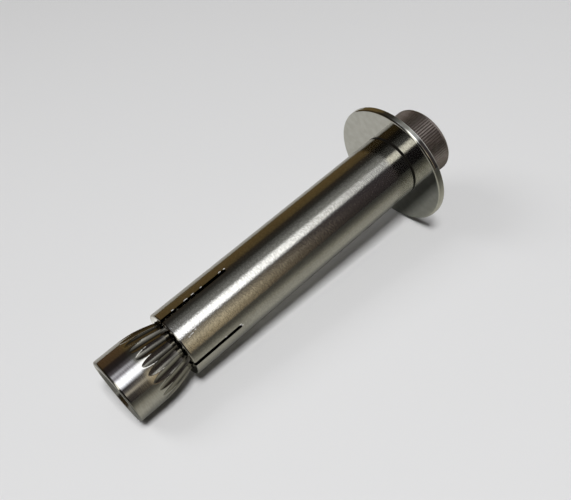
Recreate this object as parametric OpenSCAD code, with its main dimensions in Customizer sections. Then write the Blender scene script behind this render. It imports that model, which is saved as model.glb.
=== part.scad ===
// Expansion bolt: socket cap screw, wide washer, slotted sleeve and fluted cone nut.
// The bolt stands on the screw's head, with +Z towards the cone nut. Sizes in mm.

/* [Sleeve] */
// gap between the shank and the sleeve, on the radius
sleeve_play = 0.83; // [0.4:0.01:1.5]
// wall thickness of the sleeve
sleeve_wall = 1.22; // [0.8:0.01:2]
// length of the sleeve
sleeve_len = 50.6; // [30:0.1:90]
// chamfer at the washer end
sleeve_chamfer = 0.3; // [0.1:0.05:0.6]
// width of each saw slot
slot_w = 0.7; // [0.4:0.05:1.5]
// length of the long pair of slots
slot_long = 13.1; // [6:0.1:20]
// length of the short pair of slots
slot_short = 9.6; // [4:0.1:18]

/* [Washer] */
// outside diameter of the washer
washer_od = 23.5; // [18:0.1:30]
// thickness of the washer
washer_t = 1.2; // [0.8:0.1:3]
// rounding of the washer's edges
washer_edge = 0.2; // [0.05:0.05:0.35]
// clearance of the washer's hole around the shank, on the radius
washer_gap = 0.3; // [0.1:0.05:0.8]

/* [Cap screw] */
// diameter of the shank, with its thread left plain
shank_d = 7.9; // [6:0.05:10]
// how far the head stands out from the shank, on the radius
head_step = 2.55; // [1.5:0.05:4]
// height of the head
head_h = 8; // [6:0.1:10]
// chamfer at the outer end of the head
head_chamfer = 0.7; // [0.2:0.05:1.2]
// number of knurl grooves around the head
knurl_n = 84; // [24:2:90]
// depth of the knurl grooves
knurl_depth = 0.16; // [0.1:0.02:0.4]
// width across the flats of the hex socket
socket_af = 6; // [4:0.5:8]
// depth of the hex socket
socket_depth = 4.8; // [3:0.1:6]
// how far the shank's tip ends below the nut's free end
tip_recess = 3.1; // [0.5:0.1:5]
// chamfer at the tip of the shank
tip_chamfer = 0.8; // [0.3:0.1:1.5]

/* [Cone nut] */
// how far the nut's cylinder stays inside the sleeve's outline, on the radius
nut_under = 0.1; // [0.02:0.01:0.4]
// length of the nut outside the sleeve's mouth
nut_out = 11.3; // [8:0.1:16]
// length of the nut's tip inside the sleeve
nut_in = 0.6; // [0.2:0.1:1]
// length of the taper outside the sleeve
taper_len = 7.2; // [5:0.1:9]
// gap between the taper and the sleeve's mouth
seat_gap = 0.08; // [0.04:0.01:0.2]
// chamfer at the free end of the nut
nut_chamfer = 0.35; // [0.1:0.05:0.8]
// clearance of the nut's bore around the shank, on the radius
bore_gap = 0.05; // [0.02:0.01:0.1]
// number of flutes around the taper
flute_n = 24; // [16:1:30]
// depth of the flutes at the sleeve's mouth
flute_depth = 0.32; // [0.1:0.02:0.4]
// half angle of the flute cutter
flute_half = 62; // [40:1:65]

/* [Hidden] */
eps = 0.05;
washer_z = head_h;
sleeve_z = washer_z + washer_t;
mouth_z = sleeve_z + sleeve_len;
nut_z = mouth_z + nut_out;
shank_r = shank_d / 2;
shank_len = washer_t + sleeve_len + nut_out - tip_recess;
sleeve_ir = shank_r + sleeve_play;
sleeve_r = sleeve_ir + sleeve_wall;
nut_r = sleeve_r - nut_under;
bore_r = shank_r + bore_gap;
mouth_r = sleeve_ir - seat_gap;
// the taper is one arc, tangent to the nut's cylinder, that passes through the seat
taper_drop = nut_r - mouth_r;
taper_arc = (taper_len * taper_len + taper_drop * taper_drop) / (2 * taper_drop);
taper_steps = 8;
taper_all = taper_len + nut_in;
flute_low = mouth_r - flute_depth;
flute_run = taper_len * 0.92;
flute_top = arc_r(taper_len - flute_run);
flute_tilt = atan((flute_top - flute_low) / flute_run);
flute_cut = 2;
flute_over = 3;
head_r = shank_r + head_step;
knurl_low = head_chamfer * 0.9;
knurl_high = head_h - 0.5;
socket_r = socket_af / 2 / cos(30);

steel = [0.72, 0.72, 0.71];
bright = [0.86, 0.86, 0.85];

// radius of the taper's arc at a distance below the nut's cylinder
function arc_r(d) = nut_r - taper_arc + sqrt(taper_arc * taper_arc - d * d);

// one V cutter, pointing outwards, with its edge on the Z axis
module vee(high, reach, half) {
  linear_extrude(height = high)
    polygon([[0, 0], [reach, -reach * tan(half)], [reach, reach * tan(half)]]);
}

module cap_screw() {
  color(steel) difference() {
    union() {
      rotate_extrude()
        polygon([
          [0, 0],
          [head_r - head_chamfer, 0],
          [head_r, head_chamfer],
          [head_r, head_h - 0.3],
          [head_r - 0.3, head_h],
          [shank_r, head_h],
          [shank_r, head_h + shank_len - tip_chamfer],
          [shank_r - tip_chamfer, head_h + shank_len],
          [0, head_h + shank_len]
        ]);
    }
    for (i = [0 : knurl_n - 1])
      rotate([0, 0, i * 360 / knurl_n])
        translate([head_r - knurl_depth, 0, knurl_low])
          vee(knurl_high - knurl_low, knurl_depth + eps, 48);
    translate([0, 0, -1])
      cylinder(h = socket_depth + 1, r = socket_r, $fn = 6);
    // countersunk edge of the socket
    translate([0, 0, -eps])
      cylinder(h = 0.5, r1 = socket_r + 0.25, r2 = socket_r - 0.25, $fn = 60);
    // drill point at the socket's floor
    translate([0, 0, socket_depth - eps])
      cylinder(h = 1, r1 = socket_af / 2 - 0.1, r2 = 0.2, $fn = 60);
  }
}

module washer() {
  color(bright) rotate_extrude()
    polygon([
      [shank_r + washer_gap, washer_z],
      [washer_od / 2 - washer_edge, washer_z],
      [washer_od / 2, washer_z + washer_edge],
      [washer_od / 2, sleeve_z - washer_edge],
      [washer_od / 2 - washer_edge, sleeve_z],
      [shank_r + washer_gap, sleeve_z]
    ]);
}

// a saw slot through both walls of the sleeve, open at the mouth
module saw_slot(len, turn) {
  rotate([0, 0, turn])
    translate([-2 * sleeve_r, -slot_w / 2, mouth_z - len])
      cube([4 * sleeve_r, slot_w, len + 1]);
}

module sleeve() {
  color(steel) difference() {
    rotate_extrude()
      polygon([
        [sleeve_ir, sleeve_z],
        [sleeve_r - sleeve_chamfer, sleeve_z],
        [sleeve_r, sleeve_z + sleeve_chamfer],
        [sleeve_r, mouth_z - 0.1],
        [sleeve_r - 0.1, mouth_z],
        [sleeve_ir, mouth_z]
      ]);
    saw_slot(slot_long, -45);
    saw_slot(slot_short, 45);
  }
}

module cone_nut() {
  color(steel) difference() {
    rotate_extrude()
      polygon(concat(
        [
          [bore_r + 0.6, nut_z],
          [bore_r, nut_z - 0.6],
          [bore_r, mouth_z - nut_in]
        ],
        [for (k = [0 : taper_steps])
          [arc_r(taper_all * (1 - k / taper_steps)),
           mouth_z - nut_in + taper_all * k / taper_steps]],
        [
          [nut_r, nut_z - nut_chamfer],
          [nut_r - nut_chamfer, nut_z]
        ]
      ));
    for (i = [0 : flute_n - 1])
      rotate([0, 0, (i + 0.5) * 360 / flute_n])
        translate([flute_low, 0, mouth_z])
          rotate([0, flute_tilt, 0])
            translate([0, 0, -flute_over])
              vee(flute_run / cos(flute_tilt) + 2 * flute_over, flute_cut, flute_half);
  }
}

cap_screw();
washer();
sleeve();
cone_nut();
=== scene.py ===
import math
import bpy
import bmesh
from mathutils import Matrix, Vector


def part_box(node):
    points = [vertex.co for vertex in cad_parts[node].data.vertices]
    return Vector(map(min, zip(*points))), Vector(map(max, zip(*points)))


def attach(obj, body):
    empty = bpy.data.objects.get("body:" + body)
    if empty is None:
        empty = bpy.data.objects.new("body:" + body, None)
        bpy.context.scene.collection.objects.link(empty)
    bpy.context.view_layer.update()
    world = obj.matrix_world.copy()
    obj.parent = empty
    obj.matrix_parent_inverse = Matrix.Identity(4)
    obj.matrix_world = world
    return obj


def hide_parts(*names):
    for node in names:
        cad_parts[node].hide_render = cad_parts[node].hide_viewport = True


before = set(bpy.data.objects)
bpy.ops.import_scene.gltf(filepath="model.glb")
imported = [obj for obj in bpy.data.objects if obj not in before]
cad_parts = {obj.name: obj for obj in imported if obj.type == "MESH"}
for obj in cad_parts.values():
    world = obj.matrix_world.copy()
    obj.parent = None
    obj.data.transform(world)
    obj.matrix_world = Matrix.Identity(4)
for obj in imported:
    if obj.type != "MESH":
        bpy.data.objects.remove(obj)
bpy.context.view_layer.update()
print("CAD frame loaded")

mm = 0.001


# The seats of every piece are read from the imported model, so they stay together.
screwLow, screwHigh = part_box("cap_screw")
washerLow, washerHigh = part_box("washer")
sleeveLow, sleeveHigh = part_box("sleeve")
nutLow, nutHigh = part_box("cone_nut")
mouthZ = sleeveHigh.z


# small modelling helpers

def clearSelection():
    if bpy.context.mode != "OBJECT":
        bpy.ops.object.mode_set(mode="OBJECT")
    bpy.ops.object.select_all(action="DESELECT")


def pickOnly(piece):
    clearSelection()
    piece.select_set(True)
    bpy.context.view_layer.objects.active = piece


def editPiece(piece):
    pickOnly(piece)
    bpy.ops.object.mode_set(mode="EDIT")
    bpy.ops.mesh.select_mode(type="VERT")
    bpy.ops.mesh.select_all(action="DESELECT")


def selectWhere(piece, wanted):
    # picks the vertices of the piece in edit mode whose place answers the question
    shape = bmesh.from_edit_mesh(piece.data)
    for v in shape.verts:
        v.select = bool(wanted(v.co))
    shape.select_flush(True)
    bmesh.update_edit_mesh(piece.data)


def seatInMesh(piece):
    pickOnly(piece)
    bpy.ops.object.transform_apply(location=True, rotation=True, scale=True)


def holdRings(rings, closed):
    # a ring close to each end of a long straight run keeps its shading flat
    gap = 0.04 * mm
    held = [rings[0]]
    for (r0, z0), (r1, z1) in zip(rings, list(rings[1:]) + ([rings[0]] if closed else [])):
        length = math.hypot(r1 - r0, z1 - z0)
        if length > 12 * gap:
            for part in (gap / length, 1 - gap / length):
                held.append((r0 + (r1 - r0) * part, z0 + (z1 - z0) * part))
        held.append((r1, z1))
    return held


def turnPiece(name, rings, around, closed=False, share=1.0):
    # a lathe outline drawn as a circle, or a share of one, that is extruded, lifted and scaled ring by ring
    clearSelection()
    rings = holdRings(rings, closed)
    r, z = rings[0]
    bpy.ops.mesh.primitive_circle_add(vertices=around, radius=r, location=(0, 0, z))
    piece = bpy.context.object
    piece.name = name
    piece.data.name = name
    seatInMesh(piece)
    if share < 1:
        editPiece(piece)
        selectWhere(piece, lambda co: not -1e-4 < math.atan2(co.y, co.x) < share * 2 * math.pi + 1e-4)
        bpy.ops.mesh.delete(type="VERT")
    bpy.ops.object.mode_set(mode="EDIT")
    bpy.ops.mesh.select_mode(type="EDGE")
    bpy.ops.mesh.select_all(action="SELECT")
    for rNext, zNext in rings[1:]:
        bpy.ops.mesh.extrude_edges_move(TRANSFORM_OT_translate={"value": (0, 0, zNext - z)})
        if abs(rNext - r) > 1e-9:
            grow = max(rNext, 1e-7) / max(r, 1e-7)
            bpy.ops.transform.resize(value=(grow, grow, 1), center_override=(0, 0, zNext))
        r, z = rNext, zNext
    bpy.ops.mesh.select_all(action="SELECT")
    bpy.ops.mesh.remove_doubles(threshold=1e-6)
    bpy.ops.mesh.normals_make_consistent(inside=False)
    bpy.ops.object.mode_set(mode="OBJECT")
    return piece


def roundedCorner(r0, z0, r1, z1, cx, cz, steps):
    # ring points on the quarter arc from (r0, z0) to (r1, z1) about (cx, cz)
    a0 = math.atan2(z0 - cz, r0 - cx)
    a1 = math.atan2(z1 - cz, r1 - cx)
    turn = (a1 - a0 + math.pi) % (2 * math.pi) - math.pi
    radius = math.hypot(r0 - cx, z0 - cz)
    return [
        (cx + radius * math.cos(a0 + turn * k / steps), cz + radius * math.sin(a0 + turn * k / steps))
        for k in range(steps + 1)
    ]


def cutAway(piece, tool):
    pickOnly(piece)
    bpy.ops.object.modifier_add(type="BOOLEAN")
    cut = piece.modifiers[-1]
    cut.operation = "DIFFERENCE"
    cut.solver = "EXACT"
    cut.object = tool
    bpy.ops.object.modifier_apply(modifier=cut.name)
    bpy.data.objects.remove(tool)


def joinPieces(pieces, name):
    clearSelection()
    for p in pieces:
        p.select_set(True)
    bpy.context.view_layer.objects.active = pieces[0]
    bpy.ops.object.join()
    pieces[0].name = name
    pieces[0].data.name = name
    return pieces[0]


def softenEdges(piece, width, segments, angle):
    pickOnly(piece)
    bpy.ops.object.modifier_add(type="BEVEL")
    bevel = piece.modifiers[-1]
    bevel.width = width
    bevel.segments = segments
    bevel.limit_method = "ANGLE"
    bevel.angle_limit = math.radians(angle)
    bevel.use_clamp_overlap = True
    bpy.ops.object.modifier_apply(modifier=bevel.name)


def shadePiece(piece, angle):
    pickOnly(piece)
    bpy.ops.object.shade_smooth_by_angle(angle=math.radians(angle))


def threadStrip(name, turns, start, pitch, profile, steps):
    # one pitch of the thread's outline, swept along its helix by a Screw modifier
    clearSelection()
    bpy.ops.mesh.primitive_plane_add(size=mm, location=(0, 0, 0))
    strip = bpy.context.object
    strip.name = name
    strip.data.name = name
    bpy.ops.object.mode_set(mode="EDIT")
    bpy.ops.mesh.delete(type="ONLY_FACE")
    shape = bmesh.from_edit_mesh(strip.data)
    for e in list(shape.edges)[1:]:
        shape.edges.remove(e)
    for v in [v for v in shape.verts if not v.link_edges]:
        shape.verts.remove(v)
    bmesh.update_edit_mesh(strip.data)
    bpy.ops.mesh.select_all(action="SELECT")
    bpy.ops.mesh.subdivide(number_cuts=len(profile) - 2)
    shape = bmesh.from_edit_mesh(strip.data)
    ordered = sorted(shape.verts, key=lambda v: (v.co.x, v.co.y))
    for v, (r, z) in zip(ordered, profile):
        v.co = Vector((r, 0, start + z))
    bmesh.update_edit_mesh(strip.data)
    bpy.ops.object.mode_set(mode="OBJECT")
    bpy.ops.object.modifier_add(type="SCREW")
    sweep = strip.modifiers[-1]
    sweep.axis = "Z"
    sweep.angle = 2 * math.pi
    sweep.screw_offset = pitch
    sweep.iterations = turns
    sweep.steps = steps
    sweep.render_steps = steps
    sweep.use_merge_vertices = True
    sweep.merge_threshold = 1e-6
    bpy.ops.object.modifier_apply(modifier=sweep.name)
    bpy.ops.object.mode_set(mode="EDIT")
    bpy.ops.mesh.select_all(action="SELECT")
    bpy.ops.mesh.remove_doubles(threshold=1e-6)
    bpy.ops.mesh.normals_make_consistent(inside=False)
    bpy.ops.object.mode_set(mode="OBJECT")
    return strip


# materials

def newSocket(tree, name, way, kind, value=None):
    s = tree.interface.new_socket(name=name, in_out=way, socket_type=kind)
    if value is not None:
        s.default_value = value
    return s


def makeGrainGroup():
    # fine lines of a turned or ground surface, with smudges and scattered nicks
    tree = bpy.data.node_groups.new("turnedGrain", "ShaderNodeTree")
    newSocket(tree, "Line Scale", "INPUT", "NodeSocketFloat", 1.0)
    newSocket(tree, "Line Stretch", "INPUT", "NodeSocketFloat", 6.0)
    newSocket(tree, "Rough Low", "INPUT", "NodeSocketFloat", 0.12)
    newSocket(tree, "Rough High", "INPUT", "NodeSocketFloat", 0.3)
    newSocket(tree, "Height", "OUTPUT", "NodeSocketFloat")
    newSocket(tree, "Roughness", "OUTPUT", "NodeSocketFloat")
    newSocket(tree, "Smudge", "OUTPUT", "NodeSocketFloat")
    n, link = tree.nodes, tree.links.new
    inp = n.new("NodeGroupInput")
    out = n.new("NodeGroupOutput")
    place = n.new("ShaderNodeTexCoord")
    squeeze = n.new("ShaderNodeCombineXYZ")
    squeeze.inputs["X"].default_value = 1.0
    squeeze.inputs["Y"].default_value = 1.0
    link(inp.outputs["Line Stretch"], squeeze.inputs["Z"])
    stretched = n.new("ShaderNodeVectorMath")
    stretched.operation = "MULTIPLY"
    link(place.outputs["Object"], stretched.inputs[0])
    link(squeeze.outputs["Vector"], stretched.inputs[1])
    scaled = n.new("ShaderNodeVectorMath")
    scaled.operation = "SCALE"
    link(stretched.outputs["Vector"], scaled.inputs[0])
    link(inp.outputs["Line Scale"], scaled.inputs["Scale"])
    lines = n.new("ShaderNodeTexNoise")
    lines.inputs["Scale"].default_value = 1500.0
    lines.inputs["Detail"].default_value = 2.0
    lines.inputs["Roughness"].default_value = 0.5
    link(scaled.outputs["Vector"], lines.inputs["Vector"])
    pits = n.new("ShaderNodeTexNoise")
    pits.inputs["Scale"].default_value = 4200.0
    pits.inputs["Detail"].default_value = 2.0
    link(place.outputs["Object"], pits.inputs["Vector"])
    mixed = n.new("ShaderNodeMath")
    mixed.operation = "MULTIPLY_ADD"
    mixed.inputs[1].default_value = 0.15
    link(pits.outputs["Fac"], mixed.inputs[0])
    link(lines.outputs["Fac"], mixed.inputs[2])
    smudges = n.new("ShaderNodeTexNoise")
    smudges.inputs["Scale"].default_value = 160.0
    smudges.inputs["Detail"].default_value = 3.0
    link(place.outputs["Object"], smudges.inputs["Vector"])
    spread = n.new("ShaderNodeMapRange")
    spread.inputs["From Min"].default_value = 0.3
    spread.inputs["From Max"].default_value = 0.7
    link(smudges.outputs["Fac"], spread.inputs["Value"])
    link(inp.outputs["Rough Low"], spread.inputs["To Min"])
    link(inp.outputs["Rough High"], spread.inputs["To Max"])
    link(mixed.outputs["Value"], out.inputs["Height"])
    link(spread.outputs["Result"], out.inputs["Roughness"])
    sharp = n.new("ShaderNodeMapRange")
    sharp.inputs["From Min"].default_value = 0.36
    sharp.inputs["From Max"].default_value = 0.64
    link(lines.outputs["Fac"], sharp.inputs["Value"])
    blend = n.new("ShaderNodeMix")
    blend.inputs["Factor"].default_value = 0.5
    link(smudges.outputs["Fac"], blend.inputs["A"])
    link(sharp.outputs["Result"], blend.inputs["B"])
    link(blend.outputs["Result"], out.inputs["Smudge"])
    return tree


grainGroup = makeGrainGroup()


def makeSteel(name, look):
    mat = bpy.data.materials.new(name)
    mat.use_nodes = True
    tree = mat.node_tree
    n, link = tree.nodes, tree.links.new
    surface = n["Principled BSDF"]
    grain = n.new("ShaderNodeGroup")
    grain.node_tree = grainGroup
    for key in ("Line Scale", "Line Stretch", "Rough Low", "Rough High"):
        grain.inputs[key].default_value = look[key]
    tint = n.new("ShaderNodeMix")
    tint.data_type = "RGBA"
    tint.inputs["A"].default_value = (*look["color"], 1)
    tint.inputs["B"].default_value = (*look["stain"], 1)
    link(grain.outputs["Smudge"], tint.inputs["Factor"])
    link(tint.outputs["Result"], surface.inputs["Base Color"])
    surface.inputs["Metallic"].default_value = look["metal"]
    link(grain.outputs["Roughness"], surface.inputs["Roughness"])
    bump = n.new("ShaderNodeBump")
    bump.inputs["Strength"].default_value = look["bump"]
    bump.inputs["Distance"].default_value = look["depth"]
    link(grain.outputs["Height"], bump.inputs["Height"])
    link(bump.outputs["Normal"], surface.inputs["Normal"])
    return mat


steelLooks = {
    "sleeve": {
        "color": (0.70, 0.695, 0.67), "stain": (0.44, 0.43, 0.41),
        "Line Scale": 2.1, "Line Stretch": 1.6, "Rough Low": 0.09, "Rough High": 0.15,
        "bump": 0.9, "depth": 0.000014, "metal": 1.0,
    },
    "nut": {
        "color": (0.64, 0.64, 0.62), "stain": (0.50, 0.48, 0.46),
        "Line Scale": 0.7, "Line Stretch": 5.0, "Rough Low": 0.07, "Rough High": 0.14,
        "bump": 0.2, "depth": 0.00001, "metal": 1.0,
    },
    "washer": {
        "color": (0.82, 0.82, 0.80), "stain": (0.66, 0.665, 0.63),
        "Line Scale": 0.5, "Line Stretch": 1.0, "Rough Low": 0.03, "Rough High": 0.07,
        "bump": 0.12, "depth": 0.00001, "metal": 1.0,
    },
    # flute faces: a darker, rougher steel; the darker colour is partly painted shade in the hollows and partly the
    # flutes' own pressed finish
    "flute": {
        "color": (0.42, 0.405, 0.37), "stain": (0.27, 0.26, 0.235),
        "Line Scale": 0.7, "Line Stretch": 0.3, "Rough Low": 0.12, "Rough High": 0.22,
        "bump": 0.4, "depth": 0.00003, "metal": 1.0,
    },
    "screw": {
        "color": (0.40, 0.348, 0.328), "stain": (0.275, 0.237, 0.223),
        "Line Scale": 1.0, "Line Stretch": 1.0, "Rough Low": 0.26, "Rough High": 0.42,
        "bump": 0.25, "depth": 0.00002, "metal": 1.0,
    },
    "burr": {
        "color": (0.74, 0.73, 0.70), "stain": (0.5, 0.49, 0.47),
        "Line Scale": 1.0, "Line Stretch": 1.0, "Rough Low": 0.4, "Rough High": 0.5,
        "bump": 0.2, "depth": 0.00001, "metal": 0.25,
    },
}
steels = {key: makeSteel("steel_" + key, look) for key, look in steelLooks.items()}


# painted shade: a near-black steel for the sleeve's chamfer at the washer, standing in for the shadow in the gap
# between the sleeve and the washer
def makeSeamPaintedShade():
    mat = bpy.data.materials.new("seam_painted_shade")
    mat.use_nodes = True
    surface = mat.node_tree.nodes["Principled BSDF"]
    surface.inputs["Base Color"].default_value = (0.02, 0.018, 0.016, 1)
    surface.inputs["Roughness"].default_value = 0.55
    surface.inputs["Metallic"].default_value = 0.3
    return mat


seamPaintedShade = makeSeamPaintedShade()
print("materials made")


def finishPiece(piece, slotName, body, node=None, angle=30, look=None):
    piece.data.materials.clear()
    piece.data.materials.append(steels[look or slotName])
    shadePiece(piece, angle)
    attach(piece, body)
    if node:
        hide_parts(node)
    return piece


# sleeve: a tube with two saw cuts across it at the mouth

sleeveShape = {
    "outer": 6.0 * mm,
    "wall": 1.22 * mm,
    "washerEndChamfer": 0.3 * mm,
    "mouthRound": 0.24 * mm,
    "slotWidth": 0.7 * mm,
    "slots": ((13.1 * mm, -45), (9.6 * mm, 45)),
    "around": 192,
}


def makeSleeve(s):
    ro, ri = s["outer"], s["outer"] - s["wall"]
    z0, z1 = sleeveLow.z, sleeveHigh.z
    c, m = s["washerEndChamfer"], s["mouthRound"]
    rings = [(ri, z0), (ro - c, z0), (ro, z0 + c)]
    rings += roundedCorner(ro, z1 - m, ro - m, z1, ro - m, z1 - m, 3)
    rings += [(ri, z1)]
    tube = turnPiece("sleeve_tube", rings, s["around"], closed=True)
    for length, turn in s["slots"]:
        clearSelection()
        bpy.ops.mesh.primitive_cube_add(
            size=1, location=(0, 0, z1 - length / 2 + 0.5 * mm), rotation=(0, 0, math.radians(turn))
        )
        saw = bpy.context.object
        saw.scale = (4 * ro, s["slotWidth"], length + mm)
        seatInMesh(saw)
        cutAway(tube, saw)
    finishPiece(tube, "sleeve", "sleeve", "sleeve", 35)
    # painted shade: the chamfer faces at the washer end take the near-black seam steel
    tube.data.materials.append(seamPaintedShade)
    editPiece(tube)
    bpy.ops.mesh.select_mode(type="FACE")
    shape = bmesh.from_edit_mesh(tube.data)
    for f in shape.faces:
        middle = f.calc_center_median()
        f.select = middle.z < z0 + c and middle.xy.length > ri + 0.1 * mm
    bmesh.update_edit_mesh(tube.data)
    tube.active_material_index = 1
    bpy.ops.object.material_slot_assign()
    bpy.ops.object.mode_set(mode="OBJECT")
    return tube


makeSleeve(sleeveShape)


# burrs that the saw left: slot turn, distance from the mouth, side of the slot, length and height
burrShape = {
    "list": (
        (-45, 13.1, 0.3, 0.36, 0.08), (-45, 12.2, 0.38, 0.5, 0.05), (-45, 8.3, 0.38, 0.36, 0.05),
        (-45, 6.6, 0.38, 0.5, 0.06), (-45, 5.2, 0.38, 0.7, 0.06), (-45, 2.6, 0.38, 0.4, 0.05),
        (-135, 9.4, 0.36, 0.4, 0.09), (-135, 9.7, -0.05, 0.3, 0.08), (-135, 6.4, 0.38, 0.3, 0.04),
        (-91, 2.3, 0.0, 0.6, 0.05), (-93, 1.7, 0.1, 0.34, 0.045), (-89.5, 3.1, 0.0, 0.3, 0.04),
    ),
}


def makeBurrs(b):
    burrs = []
    for turn, down, side, length, height in b["list"]:
        clearSelection()
        bpy.ops.mesh.primitive_ico_sphere_add(subdivisions=2, radius=0.5 * mm, location=(0, 0, 0))
        burr = bpy.context.object
        burr.scale = (2.4 * height, 0.17, length * 1.3)
        burr.rotation_euler = (0, 0, 0)
        seatInMesh(burr)
        reach = sleeveShape["outer"]
        burr.location = (reach, side * mm, sleeveHigh.z - down * mm)
        seatInMesh(burr)
        burr.rotation_euler = (0, 0, math.radians(turn))
        seatInMesh(burr)
        burrs.append(burr)
    burrs = joinPieces(burrs, "sleeve_burrs")
    return finishPiece(burrs, "sleeve", "sleeve", None, 60, look="burr")


makeBurrs(burrShape)
print("sleeve made")


# washer: a wide flat ring with rounded rims

washerShape = {"outer": 11.75 * mm, "hole": 4.25 * mm, "edge": 0.2 * mm, "rolledEdge": 0.4 * mm, "around": 256}


def makeWasher(s):
    z0, z1, e, roll = washerLow.z, washerHigh.z, s["edge"], s["rolledEdge"]
    ro = s["outer"]
    rings = [(s["hole"], z0)]
    rings += roundedCorner(ro - e, z0, ro, z0 + e, ro - e, z0 + e, 5)
    rings += roundedCorner(ro, z1 - roll, ro - roll, z1, ro - roll, z1 - roll, 7)
    rings += [(s["hole"], z1)]
    ring = turnPiece("washer_ring", rings, s["around"], closed=True)
    return finishPiece(ring, "washer", "washer", "washer", 40)


makeWasher(washerShape)
print("washer made")


# cap screw: knurled head with a hex socket, plain shank and threaded end

screwShape = {
    "headRadius": 6.5 * mm,
    "headHeight": 8.0 * mm,
    "headChamfer": 0.7 * mm,
    "knurls": 84,
    "knurlDepth": 0.16 * mm,
    "knurlHigh": 7.5 * mm,
    "socketAcross": 6.0 * mm,
    "socketDepth": 4.8 * mm,
    "shank": 3.95 * mm,
    "root": 3.3 * mm,
    "pitch": 1.25 * mm,
    "threadTurns": 21,
    "tip": 0.8 * mm,
}


def makeHead(s):
    rh, hh, c = s["headRadius"], s["headHeight"], s["headChamfer"]
    rings = [(1.0 * mm, 0), (rh - c - 0.1 * mm, 0)]
    rings += roundedCorner(rh - c, 0, rh, c, rh - c, c, 5)
    rings += [(rh, c + 0.05 * mm), (rh, s["knurlHigh"]), (rh, hh - 0.3 * mm), (rh - 0.3 * mm, hh), (1.0 * mm, hh)]
    head = turnPiece("screw_head", rings, s["knurls"] * 4)
    editPiece(head)
    bpy.ops.mesh.select_mode(type="EDGE")
    bpy.ops.mesh.select_non_manifold()
    bpy.ops.mesh.edge_face_add()
    bpy.ops.mesh.select_mode(type="VERT")
    step = 2 * math.pi / s["knurls"]

    def inGroove(co):
        if not (c < co.z < s["knurlHigh"] + 1e-6 and co.xy.length > rh - 1e-5):
            return False
        turn = math.atan2(co.y, co.x) / step
        return abs(turn - round(turn)) < 0.1

    selectWhere(head, inGroove)
    deep = (rh - s["knurlDepth"]) / rh
    bpy.ops.transform.resize(value=(deep, deep, 1), center_override=(0, 0, 0))
    bpy.ops.object.mode_set(mode="OBJECT")
    clearSelection()
    bpy.ops.mesh.primitive_cylinder_add(
        vertices=6, radius=s["socketAcross"] / math.sqrt(3), depth=s["socketDepth"] + mm,
        location=(0, 0, (s["socketDepth"] - mm) / 2), rotation=(0, 0, math.radians(30)),
    )
    key = bpy.context.object
    seatInMesh(key)
    cutAway(head, key)
    clearSelection()
    bpy.ops.mesh.primitive_cone_add(
        vertices=64, radius1=s["socketAcross"] / math.sqrt(3) + 0.35 * mm, radius2=2.6 * mm,
        depth=1.0 * mm, location=(0, 0, 0.4 * mm),
    )
    sink = bpy.context.object
    seatInMesh(sink)
    cutAway(head, sink)
    return head


def makeShank(s):
    top = screwHigh.z
    threadStart = top - s["tip"] - s["threadTurns"] * s["pitch"]
    rings = [
        (s["shank"], s["headHeight"] - 0.2 * mm), (s["shank"], threadStart - 0.4 * mm),
        (s["root"], threadStart + 0.25 * mm), (s["root"], top - s["tip"]),
        (s["root"] - 0.15 * mm, top - 0.4 * mm), (s["root"] - 0.5 * mm, top), (0.3 * mm, top),
    ]
    core = turnPiece("screw_shank", rings, 96)
    editPiece(core)
    selectWhere(core, lambda co: co.z > top - 1e-6 and co.xy.length < 0.5 * mm)
    bpy.ops.mesh.edge_face_add()
    bpy.ops.object.mode_set(mode="OBJECT")
    p, crest, root = s["pitch"], s["shank"], s["root"]
    profile = [
        (root - 0.02 * mm, 0), (crest - 0.03 * mm, 0.42 * p), (crest, 0.46 * p), (crest, 0.54 * p),
        (crest - 0.03 * mm, 0.58 * p), (root - 0.02 * mm, p),
    ]
    strip = threadStrip("screw_thread", s["threadTurns"] - 1, threadStart, p, profile, 72)
    return joinPieces([core, strip], "screw_shank")


def makeScrew(s):
    head = makeHead(s)
    finishPiece(head, "screw", "screw", "cap_screw", 28)
    shank = makeShank(s)
    finishPiece(shank, "screw", "screw", None, 35)


makeScrew(screwShape)
print("cap screw made")


# cone nut: a cylinder that tapers in one arc, with flutes cut along the taper

nutShape = {
    "radius": 5.9 * mm,
    "taperLength": 7.2 * mm,
    "mouthRadius": 4.70 * mm,
    "bore": 4.0 * mm,
    "boreChamfer": 0.75 * mm,
    "chamfer": 0.35 * mm,
    "flutes": 24,
    "fluteDepth": 0.34 * mm,
    "fluteRun": 0.92,         # share of the taper that the flutes reach
    "fluteRound": 0.92 * mm,  # radius of a flute's round floor
    "fluteEnd": 3.4,          # how late a flute runs out towards its tip
    "flutePhase": 0.0,        # turn of the flutes, in flutes
    "threadCrest": 3.45 * mm,
    "pitch": 1.25 * mm,
    "taperRings": 44,
    "around": 384,
}


def taperRadius(s, below):
    drop = s["radius"] - s["mouthRadius"]
    arc = (s["taperLength"] ** 2 + drop ** 2) / (2 * drop)
    return s["radius"] - arc + math.sqrt(arc ** 2 - below ** 2)


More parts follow.
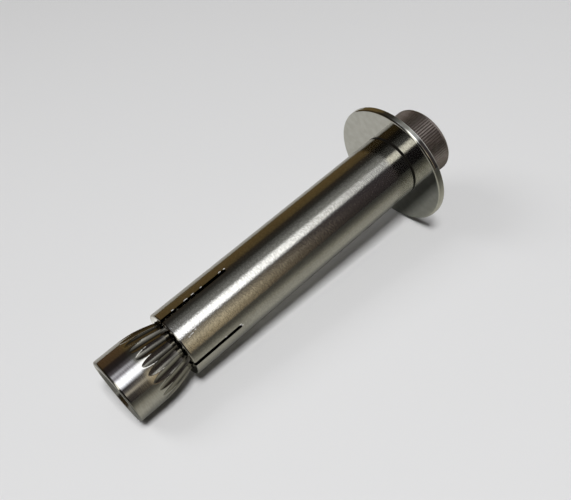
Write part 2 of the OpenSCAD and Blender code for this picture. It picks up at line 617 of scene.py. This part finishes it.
def pressFlute(s, sector, columns):
    # one flute: the vertices of each ring are drawn towards the axis, deepest in its middle
    step = 2 * math.pi / s["flutes"]
    run = s["taperLength"] * s["fluteRun"]
    editPiece(sector)
    shape = bmesh.from_edit_mesh(sector.data)
    groups = {}
    for v in shape.verts:
        r = v.co.xy.length
        below = mouthZ + s["taperLength"] - v.co.z
        if r < s["bore"] + 0.1 * mm or below < s["taperLength"] - run or abs(r - taperRadius(s, below)) > 0.01 * mm:
            continue
        column = round(math.atan2(v.co.y, v.co.x) / step * columns)
        key = (round(v.co.z / (0.001 * mm)), abs(column - columns // 2))
        groups.setdefault(key, []).append(v.index)
    for (level, away), members in groups.items():
        z = level * 0.001 * mm
        r = taperRadius(s, mouthZ + s["taperLength"] - z)
        reach = max(0.0, z - mouthZ) / run
        depth = s["fluteDepth"] * (1 - reach ** s["fluteEnd"])
        press = depth - (r * away * step / columns) ** 2 / (2 * s["fluteRound"])
        if press <= 0:
            continue
        shape = bmesh.from_edit_mesh(sector.data)
        shape.verts.ensure_lookup_table()
        for v in shape.verts:
            v.select = False
        for k in members:
            shape.verts[k].select = True
        shape.select_flush(True)
        bmesh.update_edit_mesh(sector.data)
        bpy.ops.transform.resize(value=((r - press) / r, (r - press) / r, 1), center_override=(0, 0, z))
    bpy.ops.object.mode_set(mode="OBJECT")


def makeNut(s):
    z0, z1 = nutLow.z, nutHigh.z
    r, c, bc = s["radius"], s["chamfer"], s["boreChamfer"]
    cylinderLow = mouthZ + s["taperLength"]
    rings = [(s["bore"], z0)]
    for k in range(s["taperRings"] + 1):
        z = z0 + (cylinderLow - z0) * k / s["taperRings"]
        rings.append((taperRadius(s, cylinderLow - z), z))
    rings += roundedCorner(r, z1 - c, r - c, z1, r - c, z1 - c, 4)
    rings += [(s["bore"] + bc, z1), (s["bore"], z1 - bc)]
    columns = s["around"] // s["flutes"]
    sector = turnPiece("nut_sector", rings, s["around"], closed=True, share=1 / s["flutes"])
    pressFlute(s, sector, columns)
    sectors = []
    for k in range(s["flutes"]):
        copy = sector.copy()
        copy.data = sector.data.copy()
        bpy.context.collection.objects.link(copy)
        copy.rotation_euler = (0, 0, (k + s["flutePhase"]) * 2 * math.pi / s["flutes"])
        seatInMesh(copy)
        sectors.append(copy)
    bpy.data.objects.remove(sector)
    nut = joinPieces(sectors, "nut_body")
    editPiece(nut)
    bpy.ops.mesh.select_all(action="SELECT")
    bpy.ops.mesh.remove_doubles(threshold=1e-6)
    bpy.ops.mesh.normals_make_consistent(inside=False)
    bpy.ops.object.mode_set(mode="OBJECT")
    finishPiece(nut, "nut", "nut", "cone_nut", 25)
    # the flute faces take the darker flute steel, partly painted shade in the hollows
    nut.data.materials.append(steels["flute"])
    editPiece(nut)
    bpy.ops.mesh.select_mode(type="FACE")
    shape = bmesh.from_edit_mesh(nut.data)
    for f in shape.faces:
        middle = f.calc_center_median()
        low = z0 + 1e-5 < middle.z < cylinderLow
        f.select = low and s["bore"] + 0.05 * mm < middle.xy.length < taperRadius(s, cylinderLow - middle.z) - 0.02 * mm
    bmesh.update_edit_mesh(nut.data)
    nut.active_material_index = 1
    bpy.ops.object.material_slot_assign()
    bpy.ops.object.mode_set(mode="OBJECT")
    p, crest, wall = s["pitch"], s["threadCrest"], s["bore"] + 0.02 * mm
    profile = [
        (wall, 0), (crest + 0.03 * mm, 0.44 * p), (crest, 0.48 * p), (crest, 0.52 * p),
        (crest + 0.03 * mm, 0.56 * p), (wall, p),
    ]
    threads = threadStrip("nut_thread", 1, screwHigh.z + 0.05 * mm, p, profile, 96)
    finishPiece(threads, "nut", "nut", None, 35)


makeNut(nutShape)
print("cone nut made")


# the bolt lies on the photograph's table, a plane that touches the washer and the nut

studio = {
    "lean": 40.0,            # turn of the table about the bolt's axis, in degrees
    "slotTurn": 3.0,         # turn of the whole studio, so that the saw slots face the camera
    "tableSize": 620 * mm,
    "tableColor": (0.74, 0.74, 0.745),
    # the table as the steel sees it, painted darker than the pale table the camera sees: millimetres to the right of
    # the bolt, and the colour there. The dark band from 0 to 5 mm is a painted contact shadow, and the fall to dark
    # further to the right is painted shade
    "paintedTableInSteel": (
        (-30, (0.46, 0.45, 0.415)), (-7, (0.42, 0.41, 0.375)), (0, (0.18, 0.185, 0.17)), (5, (0.20, 0.20, 0.18)),
        (9, (0.43, 0.42, 0.36)), (14, (0.38, 0.37, 0.31)), (20, (0.28, 0.27, 0.22)), (28, (0.15, 0.145, 0.12)),
        (45, (0.07, 0.068, 0.055)), (90, (0.035, 0.035, 0.03)),
    ),
    "pastNut": (63 * mm, 67 * mm),  # painted shade: the table as the steel sees it darkens there, along the bolt from the washer, standing in for the shade on the table past the nut's end
    "pastNutShade": 0.6,
    # a painted glow on the table under the bolt, which only reflections see and which lights views from behind though
    # no lamp is there: its colour by millimetres to the right of the bolt, and its strength by millimetres from the
    # washer
    "backGlowPainted": ((-30, (0, 0, 0)), (-15, (0, 0, 0)), (-10, (1.1, 1.1, 1.07)), (-3, (1.4, 1.4, 1.36)), (0, (0, 0, 0)), (90, (0, 0, 0))),
    "backGlowPaintedAlong": ((0, (0, 0, 0)), (12, (0, 0, 0)), (24, (1, 1, 1)), (56, (1, 1, 1)), (61, (0, 0, 0))),
}


def studioFrame():
    # across, along and up directions of the table
    lean = math.radians(studio["lean"])
    spin = Matrix.Rotation(math.radians(studio["slotTurn"]), 3, "Z")
    side = spin @ Vector((-math.sin(lean), math.cos(lean), 0))
    rimA = side * washerShape["outer"] + Vector((0, 0, washerHigh.z))
    rimB = side * nutShape["radius"] + Vector((0, 0, nutHigh.z - nutShape["chamfer"]))
    along = (rimB - rimA).normalized()
    across = along.cross(side).normalized()
    up = along.cross(across).normalized()
    if up.dot(side) > 0:
        up = -up
    return rimA, across, along, up


contact, tableAcross, tableAlong, tableUp = studioFrame()


def makeRamp(tree, spots, smooth="EASE"):
    node = tree.nodes.new("ShaderNodeValToRGB")
    ramp = node.color_ramp
    ramp.interpolation = smooth
    while len(ramp.elements) > 1:
        ramp.elements.remove(ramp.elements[-1])
    for k, (spot, color) in enumerate(spots):
        e = ramp.elements[0] if k == 0 else ramp.elements.new(spot)
        e.position = spot
        e.color = (*color, 1)
    return node


def makeTable():
    clearSelection()
    bpy.ops.mesh.primitive_plane_add(size=studio["tableSize"], location=(0, 0, 0))
    table = bpy.context.object
    table.name = "stage_table"
    turn = Matrix((tableAcross, tableUp.cross(tableAcross), tableUp)).transposed()
    table.matrix_world = Matrix.Translation(contact - tableUp * 0.00003) @ turn.to_4x4()
    mat = bpy.data.materials.new("table_paper")
    mat.use_nodes = True
    n, link = mat.node_tree.nodes, mat.node_tree.links.new
    paper = n["Principled BSDF"]
    paper.inputs["Roughness"].default_value = 0.55
    paper.inputs["Specular IOR Level"].default_value = 0.25
    seen = n.new("ShaderNodeLightPath")
    shade = n.new("ShaderNodeMix")
    shade.data_type = "RGBA"
    shade.inputs["A"].default_value = (*studio["tableColor"], 1)
    place = n.new("ShaderNodeTexCoord")
    parts = n.new("ShaderNodeSeparateXYZ")
    link(place.outputs["Object"], parts.inputs["Vector"])
    # painted reflection: glossy rays see the table in these darker colours, with a painted contact shadow beside the
    # bolt, while the camera and diffuse light see the even table colour
    spots = studio["paintedTableInSteel"]
    first, last = spots[0][0], spots[-1][0]
    across = n.new("ShaderNodeMapRange")
    across.inputs["From Min"].default_value = first * mm
    across.inputs["From Max"].default_value = last * mm
    link(parts.outputs["X"], across.inputs["Value"])
    fall = makeRamp(mat.node_tree, [((x - first) / (last - first), color) for x, color in spots], "LINEAR")
    link(across.outputs["Result"], fall.inputs["Fac"])
    # painted shade past the nut's end, in the table's reflection
    past = n.new("ShaderNodeMapRange")
    past.inputs["From Min"].default_value = -studio["pastNut"][1]
    past.inputs["From Max"].default_value = -studio["pastNut"][0]
    past.inputs["To Min"].default_value = studio["pastNutShade"]
    link(parts.outputs["Y"], past.inputs["Value"])
    dimmed = n.new("ShaderNodeVectorMath")
    dimmed.operation = "SCALE"
    link(fall.outputs["Color"], dimmed.inputs[0])
    link(past.outputs["Result"], dimmed.inputs["Scale"])
    link(dimmed.outputs["Vector"], shade.inputs["B"])
    # painted glow: the table emits the back glow for glossy rays only, so the steel seen from behind reflects light
    # that no lamp gives
    card = makeRamp(mat.node_tree, [((x - first) / (last - first), color) for x, color in studio["backGlowPainted"]], "LINEAR")
    link(across.outputs["Result"], card.inputs["Fac"])
    far = studio["backGlowPaintedAlong"][-1][0]
    along = n.new("ShaderNodeMapRange")
    along.inputs["From Min"].default_value = 0
    along.inputs["From Max"].default_value = -far * mm
    link(parts.outputs["Y"], along.inputs["Value"])
    reach = makeRamp(mat.node_tree, [(y / far, color) for y, color in studio["backGlowPaintedAlong"]], "LINEAR")
    link(along.outputs["Result"], reach.inputs["Fac"])
    glowHere = n.new("ShaderNodeVectorMath")
    glowHere.operation = "MULTIPLY"
    link(card.outputs["Color"], glowHere.inputs[0])
    link(reach.outputs["Color"], glowHere.inputs[1])
    glowSeen = n.new("ShaderNodeVectorMath")
    glowSeen.operation = "SCALE"
    link(glowHere.outputs["Vector"], glowSeen.inputs[0])
    link(seen.outputs["Is Glossy Ray"], glowSeen.inputs["Scale"])
    link(glowSeen.outputs["Vector"], paper.inputs["Emission Color"])
    paper.inputs["Emission Strength"].default_value = 1
    mat.cycles.emission_sampling = "NONE"
    link(seen.outputs["Is Glossy Ray"], shade.inputs["Factor"])
    link(shade.outputs["Result"], paper.inputs["Base Color"])
    clear = n.new("ShaderNodeBsdfTransparent")
    side = n.new("ShaderNodeNewGeometry")
    pick = n.new("ShaderNodeMixShader")
    link(side.outputs["Backfacing"], pick.inputs["Fac"])
    link(paper.outputs["BSDF"], pick.inputs[1])
    link(clear.outputs["BSDF"], pick.inputs[2])
    link(pick.outputs["Shader"], n["Material Output"].inputs["Surface"])
    table.data.materials.append(mat)
    return table


makeTable()


# camera at the photograph's place: distances in mm, focal length in pixels of a 571 wide picture

photoCamera = {
    "back": 117.52 * mm,
    "height": 78.05 * mm,
    "aimX": 0.317 * mm,
    "aimZ": 35.05 * mm,
    "roll": 2.2627,
    "focalPixels": 736.1,
    "picture": (571, 500),
}


def makeCamera(c):
    spin = Matrix.Rotation(math.radians(studio["slotTurn"]), 3, "Z")
    place = spin @ Vector((0, -c["back"], c["height"]))
    aim = spin @ Vector((c["aimX"], 0, c["aimZ"]))
    ahead = (aim - place).normalized()
    right = ahead.cross(Vector((0, 0, 1))).normalized()
    down = ahead.cross(right)
    x = math.cos(c["roll"]) * right + math.sin(c["roll"]) * down
    y = -math.sin(c["roll"]) * right + math.cos(c["roll"]) * down
    data = bpy.data.cameras.new("photo_camera")
    data.sensor_width = 36
    data.lens = c["focalPixels"] * 36 / c["picture"][0]
    data.clip_start = 0.01
    data.clip_end = 10
    camera = bpy.data.objects.new("photo_camera", data)
    bpy.context.scene.collection.objects.link(camera)
    turn = Matrix((x, -y, -ahead)).transposed()
    camera.matrix_world = Matrix.Translation(place) @ turn.to_4x4()
    bpy.context.scene.camera = camera
    return camera


camera = makeCamera(photoCamera)


# studio light: soft lamps for the table, and a room for the steel to reflect

def addLamp(name, direction, distance, size, power, glossy, color=(1, 1, 1)):
    data = bpy.data.lights.new(name, "AREA")
    data.shape = "RECTANGLE"
    data.size, data.size_y = size
    data.energy = power
    data.color = color
    lamp = bpy.data.objects.new(name, data)
    bpy.context.scene.collection.objects.link(lamp)
    middle = Vector((0, 0, 0.036))
    lamp.location = middle + direction.normalized() * distance
    lamp.rotation_euler = (-direction).to_track_quat("-Z", "Y").to_euler()
    lamp.visible_glossy = glossy
    lamp.visible_camera = False
    return lamp


pictureUp = camera.matrix_world.to_3x3() @ Vector((0, 1, 0))
pictureRight = camera.matrix_world.to_3x3() @ Vector((1, 0, 0))
keySide = math.radians(-20 - studio["slotTurn"])
keyWay = Vector((-math.sin(keySide), -math.cos(keySide), 0.05))
addLamp("key_lamp", keyWay, 0.8, (0.2, 0.2), 5.3, False)
addLamp("fill_lamp", tableUp, 0.7, (0.9, 0.9), 0.5, False)
sideWay = tableUp * 0.55 - pictureRight * 0.8 + pictureUp * 0.18
addLamp("side_lamp", sideWay, 0.8, (0.35, 0.35), 1.35, False)


# what the steel reflects, in layers that add up. Each has colours by the turn from the camera's side
# about the bolt, in degrees, and its strength from the head's side (0) to the nut's side (1) of the room.
roomLayers = {
    "walls": {
        "bands": (
            (-180, (0.10, 0.09, 0.07)), (-135, (0.12, 0.09, 0.045)), (-112, (0.12, 0.08, 0.032)),
            (-92, (0.105, 0.075, 0.032)), (-82, (0.035, 0.028, 0.02)), (-66, (0.032, 0.03, 0.025)),
            (-52, (0.12, 0.12, 0.11)), (-40, (0.24, 0.24, 0.225)), (-28, (0.26, 0.26, 0.245)),
            (-14, (0.06, 0.06, 0.06)), (0, (0.04, 0.036, 0.038)), (75, (0.02, 0.018, 0.018)),
            (180, (0.10, 0.09, 0.07)),
        ),
        "rise": ((0.0, (1, 1, 1)), (0.43, (1, 1, 1)), (0.46, (0.8, 0.7, 0.85)), (0.6, (0.4, 0.4, 0.4)), (1.0, (0.3, 0.3, 0.3))),
    },
    "lamp": {
        "bands": (
            (-180, (0, 0, 0)), (-33, (0, 0, 0)), (-20, (1.65, 1.66, 1.67)), (-8, (1.85, 1.86, 1.87)),
            (2, (0, 0, 0)), (180, (0, 0, 0)),
        ),
        "rise": (
            (0.0, (0.1, 0.1, 0.1)), (0.2, (0.12, 0.12, 0.12)), (0.26, (0.28, 0.28, 0.27)),
            (0.3, (0.64, 0.64, 0.62)), (0.35, (1.05, 1.05, 1.03)), (0.4, (1.15, 1.15, 1.15)),
            (0.46, (1.05, 1.08, 1.15)), (0.6, (0.7, 0.67, 0.58)), (1.0, (0.7, 0.68, 0.6)),
        ),
    },
    "card": {
        "bands": (
            (-180, (0, 0, 0)), (-4, (0, 0, 0)), (12, (0.20, 0.17, 0.12)), (25, (0.34, 0.285, 0.19)),
            (42, (0.22, 0.175, 0.105)), (57, (0.09, 0.07, 0.045)), (75, (0, 0, 0)), (180, (0, 0, 0)),
        ),
        "rise": (
            (0.0, (0.0, 0.0, 0.0)), (0.26, (0.03, 0.02, 0.03)), (0.3, (0.08, 0.07, 0.09)),
            (0.35, (0.8, 0.8, 0.8)), (0.4, (2.1, 2.15, 2.15)), (0.43, (1.6, 1.65, 1.7)),
            (0.45, (0.2, 0.22, 0.26)), (0.47, (0.06, 0.08, 0.1)), (0.56, (0.0, 0.0, 0.0)),
        ),
    },
    "glint": {
        "bands": (
            (-180, (0, 0, 0)), (-52, (0, 0, 0)), (-42, (0.42, 0.44, 0.47)), (-33, (0.18, 0.19, 0.21)),
            (-25, (0, 0, 0)), (-8, (0, 0, 0)), (0, (0.76, 0.79, 0.85)), (7, (0, 0, 0)), (15, (0.06, 0.06, 0.055)),
            (24, (0.42, 0.385, 0.31)), (33, (0, 0, 0)), (180, (0, 0, 0)),
        ),
        "rise": ((0.0, (0, 0, 0)), (0.43, (0, 0, 0)), (0.455, (1, 1, 1)), (0.5, (1, 1, 1)), (0.6, (0, 0, 0)), (1.0, (0, 0, 0))),
    },
    "low glow": {
        "bands": (
            (-180, (0, 0, 0)), (-75, (0, 0, 0)), (-50, (0.35, 0.35, 0.36)), (-20, (0.7, 0.7, 0.7)),
            (25, (0.7, 0.69, 0.66)), (60, (0.4, 0.39, 0.35)), (85, (0, 0, 0)), (180, (0, 0, 0)),
        ),
        "rise": ((0.0, (0.7, 0.7, 0.7)), (0.08, (1, 1, 1)), (0.15, (0.7, 0.7, 0.7)), (0.2, (0, 0, 0)), (1.0, (0, 0, 0))),
    },
}


def makeRoom():
    world = bpy.data.worlds.new("room")
    bpy.context.scene.world = world
    world.use_nodes = True
    n, link = world.node_tree.nodes, world.node_tree.links.new
    n.clear()
    place = n.new("ShaderNodeTexCoord")
    turn = n.new("ShaderNodeMapping")
    turn.vector_type = "POINT"
    # the radial gradient's middle is turned to the camera's side of the bolt
    turn.inputs["Rotation"].default_value = (0, 0, math.radians(90 - studio["slotTurn"]))
    radial = n.new("ShaderNodeTexGradient")
    radial.gradient_type = "RADIAL"
    link(place.outputs["Generated"], turn.inputs["Vector"])
    link(turn.outputs["Vector"], radial.inputs["Vector"])
    parts = n.new("ShaderNodeSeparateXYZ")
    link(place.outputs["Generated"], parts.inputs["Vector"])
    height = n.new("ShaderNodeMapRange")
    height.inputs["From Min"].default_value = -1.0
    height.inputs["From Max"].default_value = 1.0
    link(parts.outputs["Z"], height.inputs["Value"])
    total = None
    for name, layer in roomLayers.items():
        bands = makeRamp(world.node_tree, [((180 - turned) / 360, color) for turned, color in reversed(layer["bands"])])
        link(radial.outputs["Fac"], bands.inputs["Fac"])
        rise = makeRamp(world.node_tree, layer["rise"], "LINEAR")
        link(height.outputs["Result"], rise.inputs["Fac"])
        part = n.new("ShaderNodeVectorMath")
        part.operation = "MULTIPLY"
        part.label = name
        link(bands.outputs["Color"], part.inputs[0])
        link(rise.outputs["Color"], part.inputs[1])
        if total:
            both = n.new("ShaderNodeVectorMath")
            both.operation = "ADD"
            link(total.outputs["Vector"], both.inputs[0])
            link(part.outputs["Vector"], both.inputs[1])
            part = both
        total = part
    room = n.new("ShaderNodeBackground")
    link(total.outputs["Vector"], room.inputs["Color"])
    dim = n.new("ShaderNodeBackground")
    dim.inputs["Color"].default_value = (0.03, 0.03, 0.03, 1)
    pale = n.new("ShaderNodeBackground")
    pale.inputs["Color"].default_value = (0.69, 0.69, 0.70, 1)
    path = n.new("ShaderNodeLightPath")
    pickRoom = n.new("ShaderNodeMixShader")
    pickPale = n.new("ShaderNodeMixShader")
    out = n.new("ShaderNodeOutputWorld")
    link(path.outputs["Is Glossy Ray"], pickRoom.inputs["Fac"])
    link(dim.outputs["Background"], pickRoom.inputs[1])
    link(room.outputs["Background"], pickRoom.inputs[2])
    link(path.outputs["Is Camera Ray"], pickPale.inputs["Fac"])
    link(pickRoom.outputs["Shader"], pickPale.inputs[1])
    link(pale.outputs["Background"], pickPale.inputs[2])
    link(pickPale.outputs["Shader"], out.inputs["Surface"])


makeRoom()
bpy.context.scene.view_settings.view_transform = "Standard"
print("studio made")
